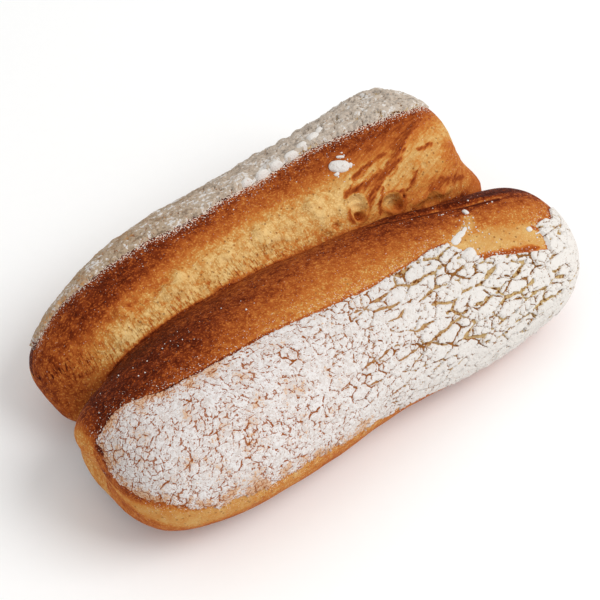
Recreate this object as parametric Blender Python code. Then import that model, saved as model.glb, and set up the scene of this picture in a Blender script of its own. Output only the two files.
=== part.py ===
"""A split bread roll: two long crusty lobes side by side, joined along a deep crease.

Flour baked onto both outer flanks has cracked into plates, thickest at the right end.
All sizes are in metres. The origin is under the middle of the roll on the surface it rests on:
+X runs along the roll to its right end, the broader near lobe is on the -Y side, and +Z is up.
Places on a lobe are (t, degrees): t runs from its left tip to its right tip, and the degrees count
from the lobe's top, outward, away from the crease.
"""

import math
import random
from collections import namedtuple

import bmesh
import bpy
import numpy as np
from mathutils import Vector, noise
from mathutils.bvhtree import BVHTree

# The dough's cross-section: a wide oval sunk a little into its flat base, fuller under the crease
HEIGHT_TO_WIDTH = 0.908
SUNK = 0.88
ROUND_CORNER = 0.95
SLUMPED_CORNER = 0.60

# The two lobes. Half widths and middle lines are read at even steps from the left tip to the right tip.
Lobe = namedtuple(
    "Lobe",
    "outward left right half_widths middle_line left_bluntness right_bluntness left_lean right_lean",
)
NEAR = Lobe(
    outward=-1,
    left=-0.0771,
    right=0.0772,
    half_widths=(0.0285, 0.0278, 0.0271, 0.0256, 0.0265),
    middle_line=(-0.0197, -0.0212, -0.0197, -0.0222, -0.0222),
    left_bluntness=3.6,
    right_bluntness=3.7,
    left_lean=-0.03,
    right_lean=-0.11,
)
FAR = Lobe(
    outward=1,
    left=-0.0716,
    right=0.0713,
    half_widths=(0.0222, 0.0239, 0.0241, 0.0258, 0.0300),
    middle_line=(0.0230, 0.0225, 0.0233, 0.0213, 0.0265),
    left_bluntness=2.3,
    right_bluntness=4.5,
    left_lean=0.02,
    right_lean=-0.19,
)

# The crease is a soft valley at the left and closes to a sharp line towards the right
VALLEY_ROUNDING = 0.016
VALLEY_FROM_X = -0.054
VALLEY_TO_X = 0.026
VALLEY_LOWEST = 0.008
VALLEY_FULL = 0.020

# Uneven dough, with bulges and dents at its ends, where the lobes pull at each other
WAVE_LENGTH = 0.024
WAVE_HEIGHT = 0.0007
Swell = namedtuple("Swell", "place radius height")
SWELLS = (
    Swell((-0.0771, -0.0150, 0.0200), 0.0060, -0.0012),
    Swell((-0.0773, -0.0110, 0.0305), 0.0065, 0.0026),
    Swell((-0.0673, 0.0100, 0.0085), 0.0075, 0.0048),
    Swell((0.0707, 0.0024, 0.0225), 0.0066, 0.0046),
    Swell((0.0723, 0.0100, 0.0308), 0.0100, -0.0026),
)

# How finely the lobes are divided
RINGS = 40
RING_POINTS = 34
END_DENSITY = 1.2
TOP_DENSITY = 0.35

# Ridges where the crust tore or folded as it baked
Ridge = namedtuple("Ridge", "lobe path width height")
RIDGES = (
    Ridge(NEAR, ((0.70, -54), (0.79, -43), (0.87, -30), (0.95, -12)), 0.0026, 0.0013),
    Ridge(NEAR, ((0.74, -33), (0.83, -22), (0.90, -12)), 0.0018, 0.0006),
    Ridge(FAR, ((0.95, -11), (0.86, -13), (0.79, -19), (0.68, -30)), 0.0018, 0.0008),
    Ridge(FAR, ((0.93, -45), (0.88, -29), (0.83, -30), (0.77, -36), (0.70, -47)), 0.0018, 0.0009),
    Ridge(FAR, ((0.90, -56), (0.86, -53), (0.83, -42), (0.79, -50)), 0.0015, 0.0007),
    Ridge(FAR, ((0.93, -70), (0.86, -58), (0.80, -57)), 0.0018, 0.0009),
)
RIDGE_STEP = 0.004
RIDGE_SUNK = 0.0010
RIDGE_SIDES = 6

# Bubbles burst open beside the crease
Bubble = namedtuple("Bubble", "lobe place radius depth")
BUBBLES = (
    Bubble(FAR, (0.69, -42), 0.0026, 0.0012),
    Bubble(FAR, (0.76, -48), 0.0028, 0.0012),
    Bubble(FAR, (0.85, -62), 0.0030, 0.0014),
)

# Cracked flour. A patch is fenced by places along its upper edge and by the angle of its lower edge.
Patch = namedtuple("Patch", "lobe upper_edge lower_edge thin_spacing thick_spacing seed")
NEAR_FLOUR = Patch(
    lobe=NEAR,
    upper_edge=((0.50, 15), (0.62, 14), (0.74, 12), (0.77, 34), (0.83, 38), (0.89, 42), (0.92, 34), (1, 20)),
    lower_edge=105,
    thin_spacing=0.0042,
    thick_spacing=0.0070,
    seed=5,
)
FAR_FLOUR = Patch(
    lobe=FAR,
    upper_edge=((0.50, 27), (0.70, 28), (0.82, 20), (0.90, 8), (1.0, 5)),
    lower_edge=105,
    thin_spacing=0.0062,
    thick_spacing=0.0080,
    seed=8,
)
PLATE_TRIES = 6000
PLATE_STRETCH = 1.35
PLATE_REACH = 0.85
LOOSE_PLATE_SIDES = 7
PLATE_SUNK = 0.0012
PLATE_TAPER = 0.92
SHORTEST_SIDE = 0.0004
THIN_PLATE = 0.0005
THICK_PLATE = 0.0010
NARROW_CRACK = 0.0004
WIDE_CRACK = 0.0011

# Single lumps of flour stuck to the bare crust
Lump = namedtuple("Lump", "lobe place radius")
LUMPS = (
    Lump(FAR, (0.716, -9), 0.0027),
    Lump(NEAR, (0.745, 22), 0.0028),
)
LUMP_SIDES = 7

CRUST_COLOUR = (0.36, 0.14, 0.04, 1)
FLOUR_COLOUR = (0.78, 0.74, 0.68, 1)
SHARP_ANGLE = math.radians(40)
SLIVER = 5e-6


def material(name, colour, roughness):
    made = bpy.data.materials.new(name)
    made.use_nodes = True
    shader = made.node_tree.nodes["Principled BSDF"]
    shader.inputs["Base Color"].default_value = colour
    shader.inputs["Roughness"].default_value = roughness
    made.diffuse_color = colour
    return made


def between(low, high, share):
    return low + (high - low) * share


def smooth_step(low, high, value):
    share = np.clip((value - low) / (high - low), 0, 1)
    return share * share * (3 - 2 * share)


def signed_power(value, power):
    return np.sign(value) * np.abs(value) ** power


def through(values, t):
    """The smooth curve through values that lie at even steps from t = 0 to t = 1."""
    steps = np.linspace(0, 1, len(values))
    return np.polyval(np.polyfit(steps, values, len(values) - 1), t)


def end_taper(lobe, t):
    """1 along the lobe, falling to 0 at its tips: the blunter the end, the later it falls."""
    bluntness = np.where(t < 0.5, lobe.left_bluntness, lobe.right_bluntness)
    return np.clip(1 - np.abs(2 * t - 1) ** bluntness, 0, None) ** (1 / bluntness)


def smooth_skin(lobe, t, turn):
    """Points on a lobe without its relief; turn is the angle from the top, outward, in radians."""
    taper = end_taper(lobe, t)
    half_width = through(lobe.half_widths, t)
    half_height = HEIGHT_TO_WIDTH * half_width
    slumped = (np.cos(turn) < 0) & (np.sin(turn) < 0)
    corner = np.where(slumped, SLUMPED_CORNER, ROUND_CORNER)
    across = lobe.outward * half_width * taper * signed_power(np.sin(turn), corner)
    up = half_height * taper * signed_power(np.cos(turn), corner)
    lean = lobe.left_lean * (1 - t) ** 3 + lobe.right_lean * t**3
    x = between(lobe.left, lobe.right, t) + lean * across
    y = through(lobe.middle_line, t) + across
    z = np.maximum(SUNK * half_height + up, 0)
    return np.stack([x, y, z], axis=-1)


def outward_normals(lobe, t, turn):
    """Unit normals of the smooth skin, from small steps along it and round it."""
    step = 1e-3
    t = np.clip(t, 2 * step, 1 - 2 * step)
    along = smooth_skin(lobe, t + step, turn) - smooth_skin(lobe, t - step, turn)
    around = smooth_skin(lobe, t, turn + step) - smooth_skin(lobe, t, turn - step)
    normals = np.cross(around, along) * -lobe.outward
    return normals / np.linalg.norm(normals, axis=-1, keepdims=True)


def distance_to_lobe(lobe, points):
    """About how far points lie outside a lobe's smooth skin; negative inside."""
    t = np.clip((points[..., 0] - lobe.left) / (lobe.right - lobe.left), 0, 1)
    half_width = through(lobe.half_widths, t)
    taper = np.maximum(end_taper(lobe, t), 0.05)
    across = (points[..., 1] - through(lobe.middle_line, t)) / (half_width * taper)
    up = (points[..., 2] / (HEIGHT_TO_WIDTH * half_width) - SUNK) / taper
    return (np.hypot(across, up) - 1) * half_width * taper


def valley_fill(points, other):
    """How far the crust stands out beside the crease, so that the lobes meet in a rounded valley."""
    open_share = 1 - smooth_step(VALLEY_FROM_X, VALLEY_TO_X, points[..., 0])
    above = smooth_step(VALLEY_LOWEST, VALLEY_FULL, points[..., 2])
    rounding = np.maximum(VALLEY_ROUNDING * open_share * above, 1e-6)
    gap = np.maximum(distance_to_lobe(other, points), 0)
    return rounding / 4 * np.clip(1 - gap / rounding, 0, 1) ** 2


def relief(lobe, points):
    """Height of the crust over the smooth skin."""
    waves = [noise.noise(Vector(point) / WAVE_LENGTH) for point in points.reshape(-1, 3)]
    height = valley_fill(points, FAR if lobe is NEAR else NEAR)
    height = height + WAVE_HEIGHT * np.reshape(waves, points.shape[:-1])
    for swell in SWELLS:
        distance = np.linalg.norm(points - np.array(swell.place), axis=-1)
        height = height + swell.height * np.exp(-((distance / swell.radius) ** 2))
    return height


def crust(lobe, t, turn):
    """Points on a lobe's crust, flat where it rests."""
    points = smooth_skin(lobe, t, turn)
    raised = points + outward_normals(lobe, t, turn) * relief(lobe, points)[..., None]
    raised[..., 2] = np.where(points[..., 2] > 0, np.maximum(raised[..., 2], 0), 0)
    return raised


def ring_places(lobe):
    """t of each ring: evenly spaced over the side outline, but closer together towards the tips."""
    t = np.linspace(0, 1, 4001)
    half_widths = through(lobe.half_widths, t) * end_taper(lobe, t)
    outline = np.stack([between(lobe.left, lobe.right, t), half_widths], axis=-1)
    density = 1 + END_DENSITY * smooth_step(0.30, 0.42, np.abs(t[1:] - 0.5))
    steps = np.linalg.norm(np.diff(outline, axis=0), axis=-1) * density
    travelled = np.concatenate([[0], np.cumsum(steps)])
    return np.interp(np.linspace(0, travelled[-1], RINGS + 2), travelled, t)[1:-1]


def ring_turns():
    """Angles of a ring's points, closest together at the top, where the crust shows most."""
    even = np.arange(RING_POINTS) / RING_POINTS * 2 * math.pi
    return even - TOP_DENSITY * np.sin(even)


def loft(shape, rings, tips):
    """Faces between neighbouring rings of vertices, and a fan from each tip to its end ring."""
    count = len(rings[0])
    for ring, following in zip(rings, rings[1:]):
        for i in range(count):
            j = (i + 1) % count
            shape.faces.new((ring[i], ring[j], following[j], following[i]))
    for tip, ring in zip(tips, (rings[0], rings[-1])):
        for i in range(count):
            shape.faces.new((tip, ring[i], ring[(i + 1) % count]))


def as_object(name, shape, its_material):
    """A closed bmesh as an object, its faces triangles that point outward."""
    bmesh.ops.triangulate(shape, faces=shape.faces)
    bmesh.ops.recalc_face_normals(shape, faces=shape.faces)
    mesh = bpy.data.meshes.new(name)
    shape.to_mesh(mesh)
    shape.free()
    mesh.materials.append(its_material)
    made = bpy.data.objects.new(name, mesh)
    bpy.context.scene.collection.objects.link(made)
    return made


def build_lobe(name, lobe, its_material):
    t, turn = np.meshgrid(ring_places(lobe), ring_turns(), indexing="ij")
    shape = bmesh.new()
    rings = [[shape.verts.new(point) for point in ring] for ring in crust(lobe, t, turn)]
    ends = crust(lobe, np.array([0.0, 1.0]), np.zeros(2))
    loft(shape, rings, [shape.verts.new(point) for point in ends])
    return as_object(name, shape, its_material)


def surface_of(made):
    """The object's surface, for finding the nearest point on it."""
    mesh = made.data
    corners = [vertex.co for vertex in mesh.vertices]
    return BVHTree.FromPolygons(corners, [polygon.vertices for polygon in mesh.polygons])


def at_place(surface, lobe, place):
    """The point of the surface at a (t, degrees) place on a lobe, and its normal."""
    point = smooth_skin(lobe, np.array([place[0]]), np.array([math.radians(place[1])]))[0]
    return surface.find_nearest(Vector(point))[:2]


def lifted(surface, point, lift):
    """The surface's nearest point to the one given, moved outward by lift."""
    nearest, normal = surface.find_nearest(point)[:2]
    return nearest + normal * lift


def evenly_along(points, step):
    """Points about one step apart along a line through the points given."""
    spaced = []
    for start, end in zip(points, points[1:]):
        pieces = max(1, round((end - start).length / step))
        spaced += [start.lerp(end, i / pieces) for i in range(pieces)]
    return spaced + [points[-1]]


def build_ridge(surface, ridge, its_material):
    """A low welt along a path over the crust, fading at both ends."""
    corners = [at_place(surface, ridge.lobe, place)[0] for place in ridge.path]
    line = evenly_along(corners, RIDGE_STEP)
    shape = bmesh.new()
    rings = []
    for i in range(1, len(line) - 1):
        swell = math.sin(math.pi * i / (len(line) - 1)) ** 0.5
        middle, normal = surface.find_nearest(line[i])[:2]
        side = (line[i + 1] - line[i - 1]).cross(normal).normalized()
        ring = []
        for corner in range(RIDGE_SIDES):
            angle = 2 * math.pi * (corner + 0.5) / RIDGE_SIDES
            up = math.sin(angle) * (ridge.height * swell if angle < math.pi else RIDGE_SUNK)
            offset = side * math.cos(angle) * ridge.width / 2 * swell + normal * up
            ring.append(shape.verts.new(middle + offset))
        rings.append(ring)
    tips = [shape.verts.new(lifted(surface, point, -RIDGE_SUNK / 2)) for point in (line[0], line[-1])]
    loft(shape, rings, tips)
    return as_object("ridge", shape, its_material)


def build_bubble(surface, bubble, its_material):
    """A ball that dips into the crust by the bubble's depth."""
    point, normal = at_place(surface, bubble.lobe, bubble.place)
    shape = bmesh.new()
    bmesh.ops.create_icosphere(shape, subdivisions=2, radius=bubble.radius)
    bmesh.ops.translate(shape, vec=point + normal * (bubble.radius - bubble.depth), verts=shape.verts)
    return as_object("bubble", shape, its_material)


def place_of(lobe, point):
    """The (t, degrees) place that a point on a lobe is nearest to."""
    t = (point.x - lobe.left) / (lobe.right - lobe.left)
    across = lobe.outward * (point.y - float(through(lobe.middle_line, t)))
    half_width = float(through(lobe.half_widths, t))
    up = point.z - SUNK * HEIGHT_TO_WIDTH * half_width
    return t, math.degrees(math.atan2(across * HEIGHT_TO_WIDTH, up))


def in_patch(patch, place):
    edge_t, edge_degrees = zip(*patch.upper_edge)
    t, degrees = place
    return edge_t[0] < t and np.interp(t, edge_t, edge_degrees) < degrees < patch.lower_edge


def thickening(lobe, point):
    """0 where the flour is thin, to 1 at the right end, where it is thickest."""
    return float(smooth_step(0.50, 0.85, place_of(lobe, point)[0]))


def stretched(offset):
    """An offset measured in plates that are longer along the roll than across it."""
    return Vector((offset.x / PLATE_STRETCH, offset.y, offset.z))


def plate_centres(surface, patch):
    """Random points of the patch, none closer together than its plates are wide."""
    draw = random.Random(patch.seed)
    lobe = patch.lobe
    reach = max(lobe.half_widths)
    middle = Vector((lobe.right / 2, float(np.mean(lobe.middle_line)), SUNK * HEIGHT_TO_WIDTH * reach))
    kept = []
    for _ in range(PLATE_TRIES):
        offset = [draw.uniform(-side, side) for side in (lobe.right / 2, reach, reach)]
        point = surface.find_nearest(middle + Vector(offset))[0]
        if in_patch(patch, place_of(lobe, point)):
            spacing = between(patch.thin_spacing, patch.thick_spacing, thickening(lobe, point))
            if all(stretched(point - other).length > spacing for other in kept):
                kept.append(point)
    return kept


def clipped(outline, middle, direction):
    """The part of an outline that lies behind a line through middle, across direction."""
    kept = []
    for corner, following in zip(outline, outline[1:] + outline[:1]):
        here = (corner - middle).dot(direction)
        there = (following - middle).dot(direction)
        if here <= 0:
            kept.append(corner)
        if here * there < 0:
            kept.append(corner.lerp(following, here / (here - there)))
    return kept


def tangents(normal):
    """Two directions across the surface: the first runs along the roll."""
    across = normal.cross(Vector((1, 0, 0))).normalized()
    return across.cross(normal), across


def oval(centre, along, across, radii):
    """Corners round an oval that is longer along the roll, one at each radius."""
    corners = []
    for i, radius in enumerate(radii):
        angle = 2 * math.pi * i / len(radii)
        corners.append(centre + (along * PLATE_STRETCH * math.cos(angle) + across * math.sin(angle)) * radius)
    return corners


def plate_outline(centre, normal, others, reach, crack):
    """The ground nearer to this centre than to any other, less half a crack all round."""
    along, across = tangents(normal)
    outline = oval(centre, along, across, [PLATE_REACH * reach] * LOOSE_PLATE_SIDES)
    for other in others:
        offset = other - centre
        if offset.length < 3 * reach:
            flat = offset - normal * offset.dot(normal)
            pull = along * flat.dot(along) / PLATE_STRETCH**2 + across * flat.dot(across)
            direction = pull.normalized()
            outline = clipped(outline, centre + flat / 2 - direction * crack / 2, direction)
    neighbours = zip(outline[-1:] + outline[:-1], outline)
    return [corner for previous, corner in neighbours if (corner - previous).length > SHORTEST_SIDE]


def build_slab(surface, centre, outline, thickness, its_material):
    """A flake that follows the crust: a fan on top, a fan beneath, and sides between them."""
    shape = bmesh.new()
    levels = []
    for lift, taper in ((-PLATE_SUNK, 1.0), (thickness, PLATE_TAPER)):
        edge = [shape.verts.new(lifted(surface, centre.lerp(corner, taper), lift)) for corner in outline]
        levels.append((edge, shape.verts.new(lifted(surface, centre, lift))))
    loft(shape, [edge for edge, _ in levels], [middle for _, middle in levels])
    return as_object("slab", shape, its_material)


def build_plates(surface, patch, its_material):
    """The cracked plates of a patch, thicker and further apart towards the right end."""
    draw = random.Random(patch.seed)
    centres = plate_centres(surface, patch)
    plates = []
    for i, centre in enumerate(centres):
        share = thickening(patch.lobe, centre)
        crack = between(NARROW_CRACK, WIDE_CRACK, share) * draw.uniform(0.6, 1.3)
        thickness = between(THIN_PLATE, THICK_PLATE, share) * draw.uniform(0.7, 1.1)
        reach = between(patch.thin_spacing, patch.thick_spacing, share)
        normal = surface.find_nearest(centre)[1]
        others = centres[:i] + centres[i + 1 :]
        outline = plate_outline(centre, normal, others, reach, crack)
        plates.append(build_slab(surface, centre, outline, thickness, its_material))
    return plates


def build_lumps(surfaces, its_material):
    draw = random.Random(3)
    lumps = []
    for lobe, place, radius in LUMPS:
        centre, normal = at_place(surfaces[lobe], lobe, place)
        radii = [radius * draw.uniform(0.8, 1.15) for _ in range(LUMP_SIDES)]
        outline = oval(centre, *tangents(normal), radii)
        lumps.append(build_slab(surfaces[lobe], centre, outline, THICK_PLATE, its_material))
    return lumps


def drop_slivers(mesh):
    """Remove the edges too short to see that a cut leaves, and the faces they collapse."""
    shape = bmesh.new()
    shape.from_mesh(mesh)
    bmesh.ops.dissolve_degenerate(shape, dist=SLIVER, edges=shape.edges)
    shape.to_mesh(mesh)
    shape.free()


def combine(base, pieces, operation):
    """Fuse every piece onto the base, or cut every piece out of it; the pieces are removed."""
    group = bpy.data.collections.new("pieces")
    for piece in pieces:
        group.objects.link(piece)
    boolean = base.modifiers.new("boolean", "BOOLEAN")
    boolean.operation = operation
    boolean.operand_type = "COLLECTION"
    boolean.collection = group
    boolean.solver = "EXACT"
    boolean.material_mode = "TRANSFER"
    evaluated = base.evaluated_get(bpy.context.evaluated_depsgraph_get())
    base.data = bpy.data.meshes.new_from_object(evaluated)
    base.modifiers.clear()
    drop_slivers(base.data)
    for piece in pieces:
        bpy.data.objects.remove(piece)
    bpy.data.collections.remove(group)


def build_roll():
    crust_material = material("crust", CRUST_COLOUR, 0.55)
    flour_material = material("flour", FLOUR_COLOUR, 0.95)
    roll = build_lobe("roll", NEAR, crust_material)
    far_lobe = build_lobe("far_lobe", FAR, crust_material)
    surfaces = {NEAR: surface_of(roll), FAR: surface_of(far_lobe)}
    pieces = [far_lobe]
    pieces += [build_ridge(surfaces[ridge.lobe], ridge, crust_material) for ridge in RIDGES]
    for patch in (NEAR_FLOUR, FAR_FLOUR):
        pieces += build_plates(surfaces[patch.lobe], patch, flour_material)
    pieces += build_lumps(surfaces, flour_material)
    combine(roll, pieces, "UNION")
    bubbles = [build_bubble(surfaces[bubble.lobe], bubble, crust_material) for bubble in BUBBLES]
    combine(roll, bubbles, "DIFFERENCE")
    roll.data.name = "roll"
    roll.data.shade_smooth()
    roll.data.set_sharp_from_angle(angle=SHARP_ANGLE)


for leftover in list(bpy.data.objects):
    bpy.data.objects.remove(leftover)
build_roll()
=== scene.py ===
"""The looks of the split bread roll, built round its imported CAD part.

A fine crust stands for the CAD roll, and baked flour, cracked into plates, lies on both flanks.
All sizes are in metres, in the part's own frame. Places on a lobe are (t, degrees): t runs from its left tip
to its right tip, and the degrees count from the lobe's top, outward, away from the crease.
"""

import math
from collections import namedtuple
from contextlib import contextmanager

import bmesh
import bpy
import numpy as np
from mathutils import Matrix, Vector, kdtree, noise


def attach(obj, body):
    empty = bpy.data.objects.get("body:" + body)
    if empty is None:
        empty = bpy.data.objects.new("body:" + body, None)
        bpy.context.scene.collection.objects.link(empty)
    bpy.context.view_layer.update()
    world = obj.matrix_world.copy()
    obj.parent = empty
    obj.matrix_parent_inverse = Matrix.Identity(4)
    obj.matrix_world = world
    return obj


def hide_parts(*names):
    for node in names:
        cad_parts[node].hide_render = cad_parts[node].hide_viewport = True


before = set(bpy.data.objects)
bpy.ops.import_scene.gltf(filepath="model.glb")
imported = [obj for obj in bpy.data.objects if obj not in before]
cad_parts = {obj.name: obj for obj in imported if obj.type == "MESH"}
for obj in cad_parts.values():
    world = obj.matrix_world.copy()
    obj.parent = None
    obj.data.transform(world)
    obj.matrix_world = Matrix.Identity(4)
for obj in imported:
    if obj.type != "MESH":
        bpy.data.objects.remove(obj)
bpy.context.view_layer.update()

# The dough's cross-section and its two lobes, as in the CAD part
HEIGHT_TO_WIDTH = 0.908
SUNK = 0.88
ROUND_CORNER = 0.95
SLUMPED_CORNER = 0.60
Lobe = namedtuple(
    "Lobe",
    "outward left right half_widths middle_line left_bluntness right_bluntness left_lean right_lean",
)
NEAR = Lobe(
    outward=-1,
    left=-0.0771,
    right=0.0772,
    half_widths=(0.0285, 0.0278, 0.0271, 0.0256, 0.0265),
    middle_line=(-0.0197, -0.0212, -0.0197, -0.0222, -0.0222),
    left_bluntness=3.6,
    right_bluntness=3.7,
    left_lean=-0.03,
    right_lean=-0.11,
)
FAR = Lobe(
    outward=1,
    left=-0.0716,
    right=0.0713,
    half_widths=(0.0222, 0.0239, 0.0241, 0.0258, 0.0300),
    middle_line=(0.0230, 0.0225, 0.0233, 0.0213, 0.0265),
    left_bluntness=2.3,
    right_bluntness=4.5,
    left_lean=0.02,
    right_lean=-0.19,
)
GIRTH_RADIUS = 0.0255
LOBE_LENGTH = 0.15

# The crease is a soft valley at the left and closes to a sharp line towards the right
VALLEY_ROUNDING = 0.016
VALLEY_FROM_X = -0.054
VALLEY_TO_X = 0.026
VALLEY_LOWEST = 0.008
VALLEY_FULL = 0.020
CREASE_REACH = 0.0035
CREASE_ROUNDS = 14
CREASE_SOFT_TO_X = 0.016

# Uneven dough, from wide waves to grain, and the bulges and dents of its ends
Wave = namedtuple("Wave", "length height")
WAVES = (Wave(0.024, 0.0007), Wave(0.007, 0.00018), Wave(0.0022, 0.00006))
Swell = namedtuple("Swell", "place radius height")
SWELLS = (
    Swell((-0.0771, -0.0150, 0.0200), 0.0060, -0.0012),
    Swell((-0.0773, -0.0110, 0.0305), 0.0065, 0.0026),
    Swell((-0.0673, 0.0100, 0.0085), 0.0075, 0.0048),
    Swell((0.0707, 0.0024, 0.0225), 0.0066, 0.0046),
    Swell((0.0723, 0.0100, 0.0308), 0.0100, -0.0026),
)

# Ridges where the crust tore or folded as it baked; their crests bake darker
Ridge = namedtuple("Ridge", "lobe path width height browning")
RIDGES = (
    Ridge(NEAR, ((0.68, -50), (0.76, -38), (0.80, -32), (0.85, -22), (0.92, -14)), 0.0012, 0.0009, 0.05),
    Ridge(NEAR, ((0.70, -37), (0.76, -32), (0.80, -27), (0.84, -20), (0.93, -14)), 0.0006, -0.0010, -0.50),
    Ridge(
        FAR,
        ((0.93, -10), (0.88, -16), (0.835, -20), (0.79, -28), (0.74, -30), (0.67, -32)),
        0.0011,
        0.0007,
        0.05,
    ),
    Ridge(FAR, ((0.95, -38), (0.90, -31), (0.86, -29), (0.83, -33)), 0.0010, 0.0005, 0.0),
    Ridge(FAR, ((0.86, -30), (0.84, -38), (0.81, -45), (0.77, -44), (0.73, -40)), 0.0010, 0.0007, 0.05),
    Ridge(FAR, ((0.90, -66), (0.85, -62), (0.82, -57), (0.79, -59)), 0.0012, 0.0009, -0.05),
    Ridge(FAR, ((0.76, -34), (0.73, -38), (0.71, -43), (0.68, -49)), 0.0009, 0.0006, 0.0),
    Ridge(FAR, ((0.23, -43), (0.25, -50), (0.25, -60)), 0.0012, -0.0006, 0.10),
)

# Brown streaks over the torn end, and the dark line and pale split along the near lobe's crest
Streak = namedtuple("Streak", "lobe path width")
STREAKS = (
    Streak(FAR, ((0.94, -10), (0.915, -13), (0.895, -15), (0.856, -17), (0.828, -24)), 0.0015),
    Streak(FAR, ((0.89, -14), (0.85, -15), (0.825, -19)), 0.0018),
    Streak(FAR, ((0.83, -21), (0.81, -27), (0.777, -29), (0.739, -30), (0.699, -29), (0.68, -31)), 0.0017),
    Streak(FAR, ((0.80, -24), (0.77, -31), (0.74, -34), (0.72, -40), (0.705, -44), (0.68, -49)), 0.0014),
    Streak(FAR, ((0.905, -31), (0.883, -30), (0.865, -28)), 0.0007),
    Streak(FAR, ((0.837, -39), (0.821, -42), (0.809, -45), (0.794, -46), (0.76, -41)), 0.0008),
    Streak(FAR, ((0.94, -69), (0.906, -61), (0.881, -56), (0.860, -55), (0.840, -55)), 0.0018),
    Streak(FAR, ((0.811, -18), (0.774, -18), (0.739, -20), (0.715, -23)), 0.0010),
    Streak(FAR, ((0.857, -64), (0.841, -58), (0.823, -58), (0.788, -60)), 0.0006),
    Streak(FAR, ((0.76, -36), (0.735, -44), (0.725, -52)), 0.0007),
    Streak(FAR, ((0.70, -34), (0.68, -38), (0.665, -43), (0.67, -49)), 0.0009),
    Streak(NEAR, ((0.756, 25), (0.785, 28), (0.83, 32), (0.88, 38)), 0.0014),
    Streak(NEAR, ((0.894, 20), (0.90, 27), (0.93, 22)), 0.0007),
)

# Bubbles burst open beside the crease; a deep one has a darker floor, partly painted shade in its hole
Bubble = namedtuple("Bubble", "lobe place radius depth browning")
BUBBLES = (
    Bubble(FAR, (0.694, -37), 0.0029, 0.0012, -0.24),
    Bubble(FAR, (0.690, -42), 0.0027, 0.0013, -0.10),
    Bubble(FAR, (0.685, -46), 0.0019, 0.0017, 0.42),
    Bubble(FAR, (0.759, -48), 0.0031, 0.0016, -0.22),
    Bubble(FAR, (0.764, -52), 0.0026, 0.0013, -0.04),
    Bubble(FAR, (0.769, -54), 0.0014, 0.0008, 0.14),
    Bubble(FAR, (0.840, -64), 0.0034, 0.0013, 0.0),
    Bubble(FAR, (0.788, -49), 0.0007, 0.0007, 0.45),
    Bubble(FAR, (0.857, -39), 0.0012, 0.0005, -0.15),
    Bubble(FAR, (0.634, -45), 0.0016, 0.0008, 0.15),
    Bubble(FAR, (0.590, -58), 0.0018, 0.0004, 0.0),
    Bubble(FAR, (0.520, -48), 0.0016, 0.0003, 0.0),
)
RIM_WIDTH = 0.0007
RIM_SHARE = 0.25
RIM_BROWNING = 0.08

# Blisters raised over the far lobe's pale zone; their tops are painted paler and the hollows between them
# browner, partly as painted light and shade
BLISTERS = (Wave(0.0046, 0.00220), Wave(0.0019, 0.00110))
BLISTER_PALENESS_AND_LIGHT = 110
USUAL_BLISTER = 0.0004
BLISTER_DEGREES = (-68, -12)

# How finely the crust is divided, and the degrees between which it is bare and shows most
CRUST_RINGS = {NEAR: 215, FAR: 300}
CRUST_RING_POINTS = {NEAR: 180, FAR: 205}
TORN_DENSITY = {NEAR: 0.0, FAR: 1.6}
BARE_DENSITY = 3.2
BARE_DEGREES = {NEAR: (-64, 40), FAR: (-80, 55)}
END_DENSITY = 0.8

# Browning of the crust, from 0, pale and stretched open, to 1, almost burnt
NEAR_CREST = (0.98, 0.74)
NEAR_FLANK = (0.78, 0.38)
NEAR_TIP = (0.36, 0.94)
FAR_PALE_LINE = ((0, -50), (0.05, -48), (0.15, -42), (0.35, -31), (0.55, -27), (0.75, -30), (1, -35))
FAR_PALE = 0.14
FAR_MIDDLE = (0.60, 0.69)
FAR_TOP = (0.86, 0.77)
FAR_CREASE_AND_SHADE = 0.42
# Browner towards the crease: partly browning and partly painted shade in the crease
FAR_LEFT_END = 0.76
BELOW_FLOUR = 0.15
UNDERSIDE = 0.45
Patch = namedtuple("Patch", "lobe path width browning")
PATCHES = (
    Patch(NEAR, ((0.755, 17), (0.80, 19), (0.86, 25), (0.90, 31)), 0.0044, 0.21),
    Patch(NEAR, ((0.75, 7), (0.78, 3), (0.80, 0), (0.81, -6)), 0.0016, 0.26),
    Patch(NEAR, ((0.025, 92), (0.07, 97), (0.16, 98)), 0.0046, 0.05),
    Patch(NEAR, ((0.68, -50), (0.74, -44), (0.80, -37), (0.86, -28), (0.93, -21)), 0.0010, 1.0),
    Patch(NEAR, ((0.66, -38), (0.74, -30), (0.79, -25), (0.84, -18), (0.90, -12)), 0.0005, 1.0),
    Patch(FAR, ((0.935, -45), (0.93, -60)), 0.0036, 0.50),
    Patch(NEAR, ((0.93, -98), (0.97, -80)), 0.0060, 0.60),
    Patch(FAR, ((0.96, -98), (1.0, -88)), 0.0060, 0.58),
)
BLOTCHES = (Wave(0.013, 0.06), Wave(0.004, 0.07), Wave(0.0014, 0.06))

# How far from its pale line each tone of the far lobe gives way to the next, and where the lobes' tones meet
PALE_TO_MIDDLE = (0.001, 0.012)
MIDDLE_TO_TOP = (0.010, 0.017)
PALE_TO_CREASE = (0.002, 0.011)
TONES_MEET = (-0.0015, 0.0015)

# Dust beside the flour: from how far outside its edge to how far inside, and the far lobe's own share.
# The far lobe's fine strokes have a middle and a spread, in degrees.
DUST_REACH = (-0.008, 0.0005)
FAR_DUST_REACH = (-0.0036, 0.0004)
FAR_DUST = 1.7
STROKED_DEGREES = (-46, 16)

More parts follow.
